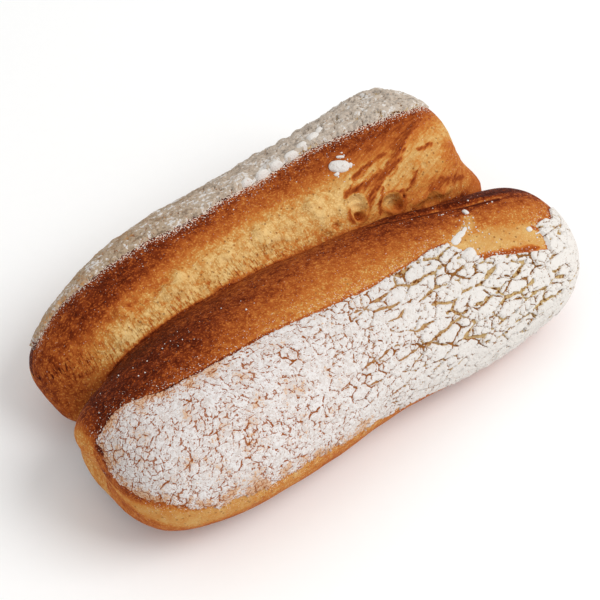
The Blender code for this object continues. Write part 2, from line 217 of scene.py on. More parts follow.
# Baked flour. Edges are (t, degrees), and the starts are (degrees, distance from the tip).
# A pair of values goes from where the flour is thin to where it is thick.
Flour = namedtuple(
    "Flour",
    "lobe upper_edge upper_raggedness lower_edge left_start right_start rings ring_points thickness"
    " cracking lumpiness greyness seed",
)
NEAR_FLOUR = Flour(
    lobe=NEAR,
    upper_edge=(
        (0, -8), (0.05, -12), (0.08, -8), (0.12, -1), (0.18, 2), (0.26, 5), (0.34, 7), (0.40, 10),
        (0.46, 12), (0.52, 13), (0.59, 12), (0.65, 10), (0.70, 7), (0.725, 7), (0.735, 14), (0.755, 21),
        (0.762, 27), (0.785, 28), (0.83, 34), (0.873, 40), (0.893, 43), (0.900, 33), (0.904, 22),
        (0.925, 20), (0.940, 25), (0.952, 22), (0.965, 16), (1, 12),
    ),
    upper_raggedness=0.00025,
    lower_edge=(
        (0, 74), (0.033, 76), (0.07, 84), (0.12, 90), (0.20, 91), (0.32, 93), (0.41, 96), (0.50, 100),
        (0.57, 105), (0.70, 111), (0.80, 113), (1, 116),
    ),
    left_start=((-8, 0.0136), (10, 0.010), (30, 0.0072), (50, 0.009), (66, 0.0124), (76, 0.019)),
    right_start=((10, 0.010), (40, 0.006), (80, 0.005), (110, 0.009)),
    rings=570,
    ring_points=175,
    thickness=(0.00030, 0.00100),
    cracking=1.0,
    lumpiness=0.13,
    greyness=(0.15, 0.0),
    seed=5,
)
FAR_FLOUR = Flour(
    lobe=FAR,
    upper_edge=(
        (0, 36), (0.10, 35), (0.153, 26), (0.21, 24), (0.265, 20), (0.30, 18), (0.36, 12), (0.43, 11),
        (0.48, 14), (0.56, 14), (0.64, 16), (0.69, 17), (0.76, 14), (0.83, 9), (0.89, 3), (0.947, -4),
        (1, -6),
    ),
    upper_raggedness=0.0008,
    lower_edge=((0, 88), (0.3, 96), (0.7, 98), (1, 106)),
    left_start=((30, 0.012), (60, 0.010), (90, 0.014)),
    right_start=((-5, 0.010), (30, 0.007), (80, 0.006), (106, 0.010)),
    rings=480,
    ring_points=130,
    thickness=(0.00080, 0.00140),
    cracking=0.35,
    lumpiness=0.50,
    # Its greyness is partly toasted flour and partly painted shade of the far flank, which faces away from
    # the light
    greyness=(0.95, 0.62),
    seed=8,
)
FLOUR_DEGREES = (-25, 128)
THICKENS_FROM_T = 0.22
THICKENS_TO_T = 0.82
TIP_THINNING = 0.6
FLOUR_MARGIN = 0.0022
FLOUR_DIP = 0.0004
PLATE_LIFT = (0.05, 0.16)
FLOUR = {NEAR: NEAR_FLOUR, FAR: FAR_FLOUR}
CRACK_FLOOR = 0.00003
CRACK_WALL = 0.00016
EDGE_WALL = 0.00012
GAP_LIMIT = 0.001
CENTRE_TRIES = 30000

# Noise in the flour: the scallops and specks of its edge, its lumps and stains, and what bends its cracks
SCALLOPS = (Wave(0.0030, 1.0), Wave(0.0009, 1.0))
SPECKS = (Wave(0.0024, 0.0016), Wave(0.0008, 0.0014))
LUMPS = (Wave(0.0032, 1.0), Wave(0.0010, 0.35))
CLOUDS = (Wave(0.0045, 1.0), Wave(0.0018, 0.5))
THIN_BENDS = (Wave(0.0034, 0.0010), Wave(0.0008, 0.00030))
THICK_BENDS = (Wave(0.0050, 0.0009), Wave(0.0007, 0.00025))
STAIN = Wave(0.003, 0.0020)
STAIN_REACH = 0.0060

# Three nets of cracks in the flour: long ones that run with the roll, ones across them, and fine ones
GAP_NAMES = ("long_gap", "cross_gap", "fine_gap")
Cracks = namedtuple("Cracks", "spacing stretch width across_share depth")
NETS = (
    Cracks(spacing=(0.0034, 0.0034), stretch=2.7, width=(0.00008, 0.00090), across_share=0.25, depth=1.0),
    Cracks(spacing=(0.0022, 0.0034), stretch=1.6, width=(0.00022, 0.00034), across_share=0.8, depth=0.9),
    Cracks(spacing=(0.0013, 0.0017), stretch=1.2, width=(0.00020, 0.00012), across_share=1.0, depth=0.5),
)

# How far cracks are open, as a share of their width, and the waves in which they open and close
USUAL_OPENING = (0.66, 0.60)
FADES = (Wave(0.006, (0.9, 2.0)), Wave(0.0016, (0.9, 1.5)))

# Chips of flour on the bare crust, and trails of crumbs along it; a size is along, across and up
Chip = namedtuple("Chip", "lobe place size turned")
CHIPS = (
    Chip(FAR, (0.716, -9), (0.0030, 0.0021, 0.0012), -38),
    Chip(FAR, (0.700, -13), (0.0008, 0.0006, 0.0005), 0),
    Chip(FAR, (0.735, -12), (0.0009, 0.0006, 0.0005), 40),
    Chip(FAR, (0.735, -3), (0.0012, 0.0005, 0.0004), -38),
    Chip(NEAR, (0.745, 20), (0.0026, 0.0019, 0.0014), 10),
    Chip(NEAR, (0.780, 2), (0.0013, 0.0006, 0.00025), 28),
    Chip(NEAR, (0.766, 4), (0.0018, 0.0009, 0.00030), 14),
    Chip(NEAR, (0.748, 7), (0.0019, 0.0012, 0.00040), 24),
    Chip(NEAR, (0.820, -12), (0.0007, 0.0012, 0.0006), 0),
    Chip(NEAR, (0.886, 22), (0.0010, 0.0008, 0.0005), 0),
    Chip(FAR, (0.762, 26), (0.0020, 0.0013, 0.0019), 30),
    Chip(FAR, (0.735, 22), (0.0027, 0.0018, 0.0024), 20),
    Chip(FAR, (0.703, 20), (0.0023, 0.0014, 0.0023), -10),
    Chip(FAR, (0.668, 18), (0.0027, 0.0013, 0.0021), 6),
    Chip(FAR, (0.628, 17), (0.0022, 0.0012, 0.0020), -8),
    Chip(FAR, (0.592, 16), (0.0025, 0.0013, 0.0019), 10),
    Chip(FAR, (0.553, 16), (0.0020, 0.0011, 0.0018), 0),
)
Trail = namedtuple("Trail", "lobe path spread count")
TRAILS = (
    Trail(FAR, ((0.70, -14), (0.72, -9), (0.74, -8)), 0.0016, 26),
    Trail(NEAR, ((0.82, -12), (0.80, -2), (0.78, 6), (0.80, 16)), 0.0016, 34),
    Trail(NEAR, ((0.74, 4), (0.77, 1), (0.80, 2)), 0.0008, 22),
    Trail(NEAR, ((0.76, 18), (0.77, 26), (0.80, 29)), 0.0009, 20),
    Trail(NEAR, ((0.89, 22), (0.90, 32), (0.93, 30)), 0.0010, 14),
    Trail(NEAR, ((0.03, -40), (0.15, -22), (0.35, -12)), 0.0040, 22),
    Trail(NEAR, ((0.70, -30), (0.80, -22), (0.90, -14)), 0.0022, 16),
    Trail(FAR, ((0.20, 16), (0.50, 8), (0.90, -4)), 0.0022, 50),
)
CRUMB_SIZE = (0.00009, 0.00025)
BIT_SQUARENESS = 0.8

# How the streaks of the torn end are turned from the roll's length, and how brown they are
PULLED = (0, 10, -16)
STREAK_BROWNING = 0.72

# Sizes of the crust's and the flour's finest texture, and how far it stands out
CRUST_GRAIN = 0.00058
CRUST_MOTTLE = 0.0018
CRUST_DUST = 0.00045
CRUST_STROKE = 0.0011
CRUST_PULL = 0.0008
CRUST_PORE = 0.0019
CRUST_BUMP = 0.00030
FLOUR_GRAIN = 0.00045
FLOUR_FLECK = 0.0010
FLOUR_BUMP = 0.00022
PAPER_FIBRE = 0.004


def srgb(red, green, blue):
    """A colour from its 0 to 255 values, as light."""
    values = np.array((red, green, blue)) / 255
    light = np.where(values <= 0.04045, values / 12.92, ((values + 0.055) / 1.055) ** 2.4)
    return (*light.tolist(), 1)


# Colours of the crust from pale to almost burnt, of the flour, and of its cracks
CRUST_STOPS = (
    (0.00, srgb(226, 188, 126)),
    (0.18, srgb(205, 160, 96)),
    (0.36, srgb(194, 126, 58)),
    (0.52, srgb(180, 100, 42)),
    (0.68, srgb(154, 74, 28)),
    (0.82, srgb(116, 46, 16)),
    (0.93, srgb(90, 32, 10)),
    (1.00, srgb(70, 22, 6)),
)
PORE_FLOOR_AND_SHADE = srgb(122, 70, 30)
FLOUR_DUST = srgb(222, 202, 186)
# Darker thin flour between lumps: partly its own colour, partly painted shade
FLOUR_THIN_AND_SHADE = srgb(208, 199, 195)
FLOUR_WHITE = srgb(230, 228, 228)
FLOUR_THICK = srgb(221, 216, 210)
# Grey of the far flour and its darker specks: partly toasted flour, partly painted shade of the far flank
# and between its lumps
FLOUR_GREY_AND_SHADE = srgb(178, 155, 128)
GREY_SPECK = srgb(118, 94, 66)
SHOWING_THROUGH = srgb(204, 152, 98)
SPECK = srgb(166, 94, 38)
THIN_CRACK = srgb(150, 82, 36)
FINE_THICK_CRACK = srgb(142, 100, 58)
CRACK_TAN = srgb(198, 172, 124)
CRACK_BROWN = srgb(150, 104, 54)
CRACK_DARK = srgb(84, 48, 22)
PAPER = (srgb(250, 250, 249), srgb(252, 252, 251))

# A large soft light, an even pale surround, and the camera
FLOOR_SIZE = 6
KEY_WATTS = 8
KEY_SIZE = 0.7
KEY_AZIMUTH = math.radians(40)
KEY_ELEVATION = math.radians(50)
KEY_DISTANCE = 1.2
WORLD_STRENGTH = 0.72
CAMERA_AZIMUTH = math.radians(-37.59)
CAMERA_ELEVATION = math.radians(48.17)
CAMERA_DISTANCE = 0.5108
CAMERA_TARGET = Vector((0.0006, -0.0022, 0.0200))
CAMERA_LENS_MM = 107.2
CAMERA_SHIFT = (0.0054, 0.0135)


def between(low, high, share):
    return low + (high - low) * share


def ease(low, high, value):
    """0 up to low and 1 from high on, with a smooth step between them."""
    share = np.clip((value - low) / (high - low), 0, 1)
    return share * share * (3 - 2 * share)


def signed_power(value, power):
    return np.sign(value) * np.abs(value) ** power


def hump(distance, width):
    """1 at no distance, falling off smoothly over about the width."""
    return np.exp(-((distance / width) ** 2))


def through(values, t):
    """The smooth curve through values that lie at even steps from t = 0 to t = 1."""
    steps = np.linspace(0, 1, len(values))
    return np.polyval(np.polyfit(steps, values, len(values) - 1), t)


def edge_at(corners, value):
    """The height of a broken line at a value; the line is a list of (value, height) corners."""
    values, heights = zip(*corners)
    return np.interp(value, values, heights)


def end_taper(lobe, t):
    """1 along the lobe, falling to 0 at its tips: the blunter the end, the later it falls."""
    bluntness = np.where(t < 0.5, lobe.left_bluntness, lobe.right_bluntness)
    return np.clip(1 - np.abs(2 * t - 1) ** bluntness, 0, None) ** (1 / bluntness)


def lean_at(lobe, t):
    return lobe.left_lean * (1 - t) ** 3 + lobe.right_lean * t**3


def smooth_skin(lobe, t, turn):
    """Points on a lobe without its relief; turn is the angle from the top, outward, in radians."""
    taper = end_taper(lobe, t)
    half_width = through(lobe.half_widths, t)
    half_height = HEIGHT_TO_WIDTH * half_width
    slumped = (np.cos(turn) < 0) & (np.sin(turn) < 0)
    corner = np.where(slumped, SLUMPED_CORNER, ROUND_CORNER)
    across = lobe.outward * half_width * taper * signed_power(np.sin(turn), corner)
    up = half_height * taper * signed_power(np.cos(turn), corner)
    x = between(lobe.left, lobe.right, t) + lean_at(lobe, t) * across
    y = through(lobe.middle_line, t) + across
    z = np.maximum(SUNK * half_height + up, 0)
    return np.stack([x, y, z], axis=-1)


def outward_normals(lobe, t, turn):
    """Unit normals of the smooth skin, from small steps along it and round it."""
    step = 1e-3
    t = np.clip(t, 2 * step, 1 - 2 * step)
    along = smooth_skin(lobe, t + step, turn) - smooth_skin(lobe, t - step, turn)
    around = smooth_skin(lobe, t, turn + step) - smooth_skin(lobe, t, turn - step)
    normals = np.cross(around, along) * -lobe.outward
    return normals / np.linalg.norm(normals, axis=-1, keepdims=True)


def distance_to_lobe(lobe, points):
    """About how far points lie outside a lobe's smooth skin; negative inside."""
    t = np.clip((points[..., 0] - lobe.left) / (lobe.right - lobe.left), 0, 1)
    half_width = through(lobe.half_widths, t)
    taper = np.maximum(end_taper(lobe, t), 0.05)
    across = (points[..., 1] - through(lobe.middle_line, t)) / (half_width * taper)
    up = (points[..., 2] / (HEIGHT_TO_WIDTH * half_width) - SUNK) / taper
    return (np.hypot(across, up) - 1) * half_width * taper


def places_of(lobe, points):
    """The t and the degrees of the places that points on a lobe are nearest to."""
    t = (points[:, 0] - lobe.left) / (lobe.right - lobe.left)
    for _ in range(3):
        t = np.clip(t, 0, 1)
        across = points[:, 1] - through(lobe.middle_line, t)
        t = (points[:, 0] - lean_at(lobe, t) * across - lobe.left) / (lobe.right - lobe.left)
    t = np.clip(t, 0, 1)
    across = lobe.outward * (points[:, 1] - through(lobe.middle_line, t))
    up = points[:, 2] - SUNK * HEIGHT_TO_WIDTH * through(lobe.half_widths, t)
    return t, np.degrees(np.arctan2(across * HEIGHT_TO_WIDTH, up))


def valley_fill(points, other):
    """How far the crust stands out beside the crease, so that the lobes meet in a rounded valley."""
    open_share = 1 - ease(VALLEY_FROM_X, VALLEY_TO_X, points[..., 0])
    above = ease(VALLEY_LOWEST, VALLEY_FULL, points[..., 2])
    rounding = np.maximum(VALLEY_ROUNDING * open_share * above, 1e-6)
    gap = np.maximum(distance_to_lobe(other, points), 0)
    return rounding / 4 * np.clip(1 - gap / rounding, 0, 1) ** 2


def noise_at(points, size, seed=0):
    """Smooth noise between about -1 and 1, its blobs about as wide as size."""
    shift = Vector((seed * 7.31, seed * 3.17, seed * 5.73))
    return np.array([noise.noise(Vector(point) / size + shift) for point in points.tolist()])


def waves_at(points, waves, seed):
    """The sum of some waves of noise."""
    return sum(wave.height * noise_at(points, wave.length, seed + i) for i, wave in enumerate(waves))


def unrolled(lobe, t, degrees):
    """Places laid out flat, in metres along the lobe and round it."""
    along = np.asarray(t) * (lobe.right - lobe.left)
    return np.stack([along, np.radians(degrees) * GIRTH_RADIUS], axis=-1)


def rounded_path(path):
    """The path with its corners cut off three times over."""
    for _ in range(3):
        starts, ends = path[:-1], path[1:]
        cut = np.stack([between(starts, ends, 0.25), between(starts, ends, 0.75)], axis=1)
        path = np.concatenate([path[:1], cut.reshape(-1, 2), path[-1:]])
    return path


def along_path(spots, lobe, places):
    """Each spot's distance from a path, and how far along the path its nearest point is, from 0 to 1."""
    path = rounded_path(unrolled(lobe, *np.array(places).T))
    nearest = np.full(len(spots), np.inf)
    share = np.zeros(len(spots))
    for i, (start, end) in enumerate(zip(path, path[1:])):
        step = end - start
        on_step = np.clip((spots - start) @ step / (step @ step), 0, 1)
        distance = np.linalg.norm(spots - start - on_step[:, None] * step, axis=1)
        closer = distance < nearest
        nearest = np.where(closer, distance, nearest)
        share = np.where(closer, (i + on_step) / (len(path) - 1), share)
    return nearest, share


def ridge_swell(spots, ridge, width):
    """0 to 1: how much of a ridge there is at each spot."""
    distance, share = along_path(spots, ridge.lobe, ridge.path)
    return hump(distance, width) * ease(0, 0.25, share) * ease(0, 0.25, 1 - share)


def bubble_distance(spots, bubble):
    return np.linalg.norm(spots - unrolled(bubble.lobe, *bubble.place), axis=1)


def bubble_relief(distance, bubble):
    """A bowl with a low rim."""
    bowl = 1 - ease(0.35 * bubble.radius, bubble.radius, distance)
    rim = hump(distance - bubble.radius, RIM_WIDTH)
    return bubble.depth * (RIM_SHARE * rim - bowl)


def on_lobe(features, lobe):
    return [feature for feature in features if feature.lobe is lobe]


def relief(lobe, t, turn, points):
    """Height of the crust over the smooth skin."""
    spots = unrolled(lobe, t, np.degrees(turn))
    height = valley_fill(points, FAR if lobe is NEAR else NEAR)
    for swell in SWELLS:
        height += swell.height * hump(np.linalg.norm(points - swell.place, axis=1), swell.radius)
    for wave in WAVES:
        height += wave.height * noise_at(points, wave.length)
    for ridge in on_lobe(RIDGES, lobe):
        height += ridge.height * ridge_swell(spots, ridge, ridge.width)
    for bubble in on_lobe(BUBBLES, lobe):
        height += bubble_relief(bubble_distance(spots, bubble), bubble)
    if lobe is FAR:
        height += blisters(t, np.degrees(turn), points)
    return height


def blister_zone(t, degrees):
    """1 where the far lobe is blistered, and 0 away from there."""
    first, last = BLISTER_DEGREES
    zone = ease(first, first + 12, degrees) * ease(-last, -last + 12, -degrees)
    return zone * ease(0.06, 0.2, t) * (1 - 0.85 * ease(0.62, 0.70, t))


def blisters(t, degrees, points):
    """How far blisters stand out of the crust."""
    raised = 0
    for seed, wave in enumerate(BLISTERS, 70):
        raised = raised + wave.height * np.maximum(noise_at(points, wave.length, seed), 0)
    return blister_zone(t, degrees) * raised


def crust_points(lobe, t, turn, lift=0):
    """Points on a lobe's crust, or lifted off it; flat where it rests. The angles run from -pi to pi."""
    points = smooth_skin(lobe, t, turn)
    height = relief(lobe, t, turn, points) + lift
    raised = points + outward_normals(lobe, t, turn) * height[:, None]
    raised[:, 2] = np.where(points[:, 2] > 0, np.maximum(raised[:, 2], 0), 0)
    return raised


def outline_travel(lobe, end_density, torn_density):
    """Even samples of t, and how far the side outline has run at each, counted denser at tips and tears."""
    t = np.linspace(0, 1, 20001)
    half_widths = through(lobe.half_widths, t) * end_taper(lobe, t)
    outline = np.stack([between(lobe.left, lobe.right, t), half_widths], axis=-1)
    density = 1 + end_density * ease(0.42, 0.48, np.abs(t[1:] - 0.5))
    density += torn_density * ease(0.60, 0.66, t[1:])
    steps = np.linalg.norm(np.diff(outline, axis=0), axis=-1) * density
    return t, np.concatenate([[0], np.cumsum(steps)])


def ring_places(lobe, count, torn_density=0):
    t, travelled = outline_travel(lobe, END_DENSITY, torn_density)
    return np.interp(np.linspace(0, travelled[-1], count + 2), travelled, t)[1:-1]


def tip_distances(lobe, t):
    """How far places are from the left tip and from the right tip, over the crust."""
    samples, travelled = outline_travel(lobe, 0, 0)
    from_left = np.interp(t, samples, travelled)
    return from_left, travelled[-1] - from_left


def ring_turns(count, first, last, density):
    """Angles round a ring, from -pi to pi, closer together between two angles given in degrees."""
    degrees = np.linspace(-180, 180, 3601)
    inside = ease(first - 8, first, degrees) * ease(-last - 8, -last, -degrees)
    travelled = np.concatenate([[0], np.cumsum(1 + (density - 1) * inside[1:])])
    even = np.linspace(0, travelled[-1], count, endpoint=False)
    return np.radians(np.interp(even, travelled, degrees))


def ring_quads(ring_count, ring_points, closed):
    """Corner numbers of the faces between neighbouring rings."""
    steps = np.arange(ring_points if closed else ring_points - 1)
    ring, point = np.meshgrid(np.arange(ring_count - 1), steps, indexing="ij")
    here = ring * ring_points + point
    beside = ring * ring_points + (point + 1) % ring_points
    return np.stack([here, beside, beside + ring_points, here + ring_points], axis=-1).reshape(-1, 4)


def mesh_object(name, points, faces):
    mesh = bpy.data.meshes.new(name)
    mesh.from_pydata(points.tolist(), [], faces)
    made = bpy.data.objects.new(name, mesh)
    bpy.context.scene.collection.objects.link(made)
    return made


@contextmanager
def edited(mesh):
    """The mesh as a shape to edit, written back afterwards."""
    shape = bmesh.new()
    shape.from_mesh(mesh)
    yield shape
    shape.to_mesh(mesh)
    shape.free()


def face_outward(shape):
    bmesh.ops.triangulate(shape, faces=shape.faces)
    bmesh.ops.recalc_face_normals(shape, faces=shape.faces)


def mesh_points(mesh):
    points = np.empty(len(mesh.vertices) * 3)
    mesh.vertices.foreach_get("co", points)
    return points.reshape(-1, 3)


def set_attributes(mesh, facts):
    """Store numbers on the mesh's points, by name."""
    for name, values in facts.items():
        mesh.attributes.new(name, "FLOAT", "POINT").data.foreach_set("value", np.asarray(values, np.float32))


def build_lobe(name, lobe):
    """One lobe as a closed mesh: rings, and a fan at each tip."""
    rings, ring_points = CRUST_RINGS[lobe], CRUST_RING_POINTS[lobe]
    turns = ring_turns(ring_points, *BARE_DEGREES[lobe], BARE_DENSITY)
    t, turn = np.meshgrid(ring_places(lobe, rings, TORN_DENSITY[lobe]), turns, indexing="ij")
    points = crust_points(lobe, np.append(t.ravel(), (0, 1)), np.append(turn.ravel(), (0, 0)))
    faces = ring_quads(rings, ring_points, closed=True).tolist()
    for tip, first in ((t.size, 0), (t.size + 1, t.size - ring_points)):
        for i in range(ring_points):
            faces.append((tip, first + i, first + (i + 1) % ring_points))
    made = mesh_object(name, points, faces)
    with edited(made.data) as shape:
        face_outward(shape)
    return made


def join_lobes(roll, far_lobe):
    boolean = roll.modifiers.new("join", "BOOLEAN")
    boolean.operation = "UNION"
    boolean.object = far_lobe
    boolean.solver = "MANIFOLD"
    evaluated = roll.evaluated_get(bpy.context.evaluated_depsgraph_get())
    roll.data = bpy.data.meshes.new_from_object(evaluated)
    roll.modifiers.clear()
    roll.data.materials.clear()
    bpy.data.objects.remove(far_lobe)


def soften_crease(mesh):
    """Round off the sharp line between the lobes where the crease is a soft valley."""
    points = mesh_points(mesh)
    near_gap, far_gap = distance_to_lobe(NEAR, points), distance_to_lobe(FAR, points)
    close = (np.abs(near_gap - far_gap) < CREASE_REACH) & (points[:, 2] > VALLEY_LOWEST)
    chosen = close & (points[:, 0] < CREASE_SOFT_TO_X)
    every_way = {"use_axis_x": True, "use_axis_y": True, "use_axis_z": True}
    with edited(mesh) as shape:
        shape.verts.ensure_lookup_table()
        vertices = [shape.verts[i] for i in np.flatnonzero(chosen)]
        for _ in range(CREASE_ROUNDS):
            bmesh.ops.smooth_vert(shape, verts=vertices, factor=0.5, **every_way)


def below_browning(degrees):
    """The crust under the flour: pale at first, and browner towards the base."""
    return between(BELOW_FLOUR, UNDERSIDE, ease(94, 130, degrees))


def near_browning(t, degrees):
    """Dark along the crest beside the crease, lighter towards the flour, and pale just below it."""
    crest = between(*NEAR_CREST, hump(t - 0.5, 0.25))
    flank = between(*NEAR_FLANK, ease(0, 0.5, t)) + 0.25 * ease(0.86, 0.98, t)
    tone = between(crest, flank, ease(-30, 15, degrees))
    below_from = between(0, 78, ease(0, 0.08, t))
    tone = between(tone, below_browning(degrees), ease(below_from, 94, degrees))
    up = np.cos(np.radians(degrees)) * end_taper(NEAR, t)
    tip = between(*NEAR_TIP, ease(-0.2, 0.8, up))
    return between(tip, tone, ease(0.005, 0.05, t))


def far_browning(t, degrees):
    """Pale where the crust was stretched last, darker away from that line and towards the left end, and
    darker towards the crease, partly as painted shade.
    """
    offset = np.radians(degrees - edge_at(FAR_PALE_LINE, t)) * GIRTH_RADIUS
    top = between(*FAR_TOP, ease(0.3, 0.6, t))
    middle = between(*FAR_MIDDLE, ease(0.25, 0.45, t))
    outward = between(FAR_PALE, middle, ease(*PALE_TO_MIDDLE, offset))
    outward = between(outward, top, ease(*MIDDLE_TO_TOP, offset))
    inward = between(FAR_PALE, FAR_CREASE_AND_SHADE, ease(*PALE_TO_CREASE, -offset))
    tone = np.where(offset > 0, outward, inward)
    tone = between(FAR_LEFT_END, tone, ease(-0.02, 0.17, t))
    tone += 0.12 * ease(0.70, 0.80, t) * (1 - tone)
    return between(tone, below_browning(degrees), ease(80, 94, degrees))


def browning(lobe, t, degrees):
    spots = unrolled(lobe, t, degrees)
    tone = near_browning(t, degrees) if lobe is NEAR else far_browning(t, degrees)
    for patch in on_lobe(PATCHES, lobe):
        distance, _ = along_path(spots, lobe, patch.path)
        tone = between(patch.browning, tone, ease(0.6 * patch.width, 1.6 * patch.width, distance))
    for ridge in on_lobe(RIDGES, lobe):
        tone = tone + ridge.browning * ridge_swell(spots, ridge, 1.3 * ridge.width)
    for bubble in on_lobe(BUBBLES, lobe):
        distance = bubble_distance(spots, bubble)
        tone = tone + RIM_BROWNING * hump(distance - 1.15 * bubble.radius, RIM_WIDTH)
        # Each bubble's own browning inside it: the darker floor of a deep one is partly painted shade
        tone = tone + bubble.browning * (1 - ease(0.4 * bubble.radius, bubble.radius, distance))
    return tone


def calm_share(t, degrees):
    """1 in the near lobe's patches, whose crust is smoother, and 0 away from them."""
    spots = unrolled(NEAR, t, degrees)
    distances = [along_path(spots, NEAR, patch.path)[0] / patch.width for patch in on_lobe(PATCHES, NEAR)]
    return 1 - ease(0.7, 1.6, np.minimum.reduce(distances))


def pit_share(t, degrees):
    """1 inside the far lobe's open bubbles, and 0 outside them."""
    spots = unrolled(FAR, t, degrees)
    distances = [bubble_distance(spots, bubble) / bubble.radius for bubble in on_lobe(BUBBLES, FAR)]
    return 1 - ease(0.7, 1.1, np.minimum.reduce(distances))


def torn_share(t, degrees):
    """1 in the far lobe's torn end, which is streaked as it was pulled, and 0 away from it."""
    zone = ease(0.62, 0.72, t) * ease(-75, -62, degrees)
    return zone * ease(12, 0, degrees + 40 * (0.85 - t))


def streak_share(lobe, t, degrees):
    """1 in the middle of a brown streak, 0 at its side, and -1 well away from every streak."""
    spots = unrolled(lobe, t, degrees)
    share = np.full(len(spots), -1.0)
    for streak in on_lobe(STREAKS, lobe):
        distance, along = along_path(spots, lobe, streak.path)
        width = streak.width * (0.3 + 0.7 * ease(0, 0.2, along) * ease(0, 0.2, 1 - along))
        share = np.maximum(share, 1 - distance / width)
    return np.clip(share, -1, 1)


def paint_crust(mesh):
    """Store what the crust's material needs to know of each point."""
    points = mesh_points(mesh)
    near_share = ease(*TONES_MEET, distance_to_lobe(FAR, points) - distance_to_lobe(NEAR, points))
    far_share = 1 - near_share
    near_places = places_of(NEAR, points)
    far_places = places_of(FAR, points)

    def blended(measure):
        """What is measured on both lobes, blended where they meet."""
        return between(measure(FAR, *far_places), measure(NEAR, *near_places), near_share)

    def inside_flour(lobe, t, degrees):
        return flour_edge(FLOUR[lobe], t, degrees)

    def inside_upper_edge(lobe, t, degrees):
        return scalloped(FLOUR[lobe], flour_edges(FLOUR[lobe], t, degrees)[0], points)

    zone = blister_zone(*far_places)
    swollen = blisters(*far_places, points) - USUAL_BLISTER * zone
    torn = far_share * torn_share(*far_places)
    open_pits = far_share * pit_share(*far_places)
    # Blister tops paler and hollows browner: partly the crust's own colour, partly painted light and shade
    # on the blisters
    tone = blended(browning) - far_share * BLISTER_PALENESS_AND_LIGHT * swollen
    tone += (1 - 0.7 * torn) * waves_at(points, BLOTCHES, 20)
    edge = blended(inside_flour)
    far_dust = far_share * ease(*FAR_DUST_REACH, edge)
    far_t, far_degrees = far_places
    middle, width = STROKED_DEGREES
    stretched = hump(far_degrees - middle, width) * (1 - ease(0.45, 0.62, far_t))
    facts = {
        "browning": tone,
        "streak": between(blended(streak_share), -1, open_pits),
        "stretch": far_share * stretched,
        "calm": near_share * calm_share(*near_places) + 0.8 * torn,
        "torn": (1 - open_pits) * torn,
        "dust": ease(*DUST_REACH, edge) + FAR_DUST * far_dust,
        "blistered": far_share * zone,
        # How far inside the flour's upper edge, for the dark line beside it that is partly painted shadow
        "edge": np.clip(blended(inside_upper_edge), -GAP_LIMIT, GAP_LIMIT) / GAP_LIMIT,
    }
    set_attributes(mesh, facts)


def build_crust():
    crust = build_lobe("crust", NEAR)
    join_lobes(crust, build_lobe("far_lobe", FAR))
    soften_crease(crust.data)
    paint_crust(crust.data)
    crust.data.shade_smooth()
    crust.data.materials.append(crust_material())
    return crust


def flour_edges(flour, t, degrees):
    """How far places lie inside each side of a flour patch: above, below, left and right."""
    arc = np.maximum(end_taper(flour.lobe, t), 0.15) * math.radians(1) * GIRTH_RADIUS
    from_left, from_right = tip_distances(flour.lobe, t)
    upper = (degrees - edge_at(flour.upper_edge, t)) * arc
    lower = (edge_at(flour.lower_edge, t) - degrees) * arc
    left = from_left - edge_at(flour.left_start, degrees)
    right = from_right - edge_at(flour.right_start, degrees)
    return upper, lower, left, right


def flour_edge(flour, t, degrees):
    return np.minimum.reduce(flour_edges(flour, t, degrees))


def scalloped(flour, upper, points):
    """The upper edge of the flour with its small scallops."""
    return upper + flour.upper_raggedness * waves_at(points, SCALLOPS, 31)


def ragged_edge(flour, t, degrees, points):
    """The flour's edge as it is: scalloped above, and broken into specks below and at the ends."""
    upper, lower, left, right = flour_edges(flour, t, degrees)
    specks = waves_at(points, SPECKS, 33)
    sides = (scalloped(flour, upper, points), lower + specks, left + 0.7 * specks, right + 0.5 * specks)
    return np.minimum.reduce(sides)


def scattered(points, spacing, draw, tries):
    """Points picked at random, none closer to another than the spacing at its place."""
    kept = np.empty((tries, 3))
    count = 0
    for i in draw.integers(len(points), size=tries):
        gaps = np.linalg.norm(kept[:count] - points[i], axis=1)
        if count == 0 or gaps.min() > spacing[i]:
            kept[count] = points[i]
            count += 1
    return kept[:count]


def cells(points, centres):
    """Each point's distance to its cell's border, its cell's number, and the way across that border."""
    tree = kdtree.KDTree(len(centres))
    for i, centre in enumerate(centres):
        tree.insert(centre, i)
    tree.balance()
    found = [[(near[2], near[1]) for near in tree.find_n(point, 4)] for point in points.tolist()]
    distances = np.array([[distance for distance, _ in near] for near in found])
    numbers = np.array([[number for _, number in near] for near in found])
    apart = centres[numbers[:, 1:]] - centres[numbers[:, :1]]
    width = np.linalg.norm(apart, axis=2)
    borders = (distances[:, 1:] ** 2 - distances[:, :1] ** 2) / (2 * width)
    nearest = np.argmin(borders, axis=1)
    rows = np.arange(len(points))
    return borders[rows, nearest], numbers[:, 0], apart[rows, nearest] / width[rows, nearest, None]


def warped(points, wave, seed):
    """Points pushed about by a wave of noise, so that what is measured from them turns ragged."""
    pushes = [noise_at(points, wave.length, seed + i) for i in range(3)]
    return points + wave.height * np.stack(pushes, axis=-1)


def crack_gaps(cracks, share, points, ragged, thick, draw, seed):
    """How far each point lies outside the nearest crack, negative inside it, and its plate's own lift."""
    squeeze = (cracks.stretch, 1, 1)
    spacing = between(*cracks.spacing, thick)
    centres = scattered(points / squeeze, spacing, draw, CENTRE_TRIES)
    border, cell, across = cells(ragged / squeeze, centres)
    with_roll = 1 - across[:, 0] ** 2
    width = between(*cracks.width, thick) * between(cracks.across_share, 1.0, with_roll)
    open_share = between(*USUAL_OPENING, thick)
    for i, fade in enumerate(FADES):
        open_share = open_share + between(*fade.height, thick) * noise_at(points, fade.length, seed + i)
    width *= share * open_share
    lift = draw.uniform(-1, 1, len(centres))[cell]
    return border - width / 2, lift


